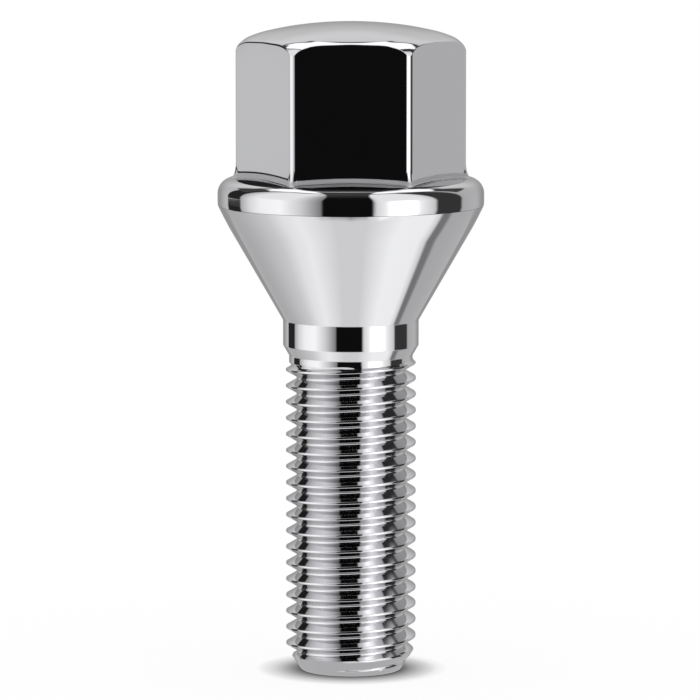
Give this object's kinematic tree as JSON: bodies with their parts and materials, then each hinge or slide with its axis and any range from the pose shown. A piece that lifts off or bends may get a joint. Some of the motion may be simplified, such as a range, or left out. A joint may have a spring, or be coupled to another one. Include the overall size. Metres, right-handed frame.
{
  "type": "lug bolt",
  "caption": "Chrome wheel lug bolt with a domed hexagon head, a round flange, a 60 degree cone seat and a fine right-hand thread down to a chamfered tip.",
  "frame": {"origin": "middle of the flat end of the thread, which the bolt stands on", "axes": "+Z along the bolt's axis from the thread's tip to the head, -Y square to one flat of the hexagon, +X through a corner of the hexagon"},
  "size_m": [0.0244, 0.0244, 0.06],
  "materials": {
    "chrome_plating": "bright polished chromium plating over steel"
  },
  "bodies": {
    "root": {"lug_bolt": "chrome_plating"}
  },
  "joints": []
}
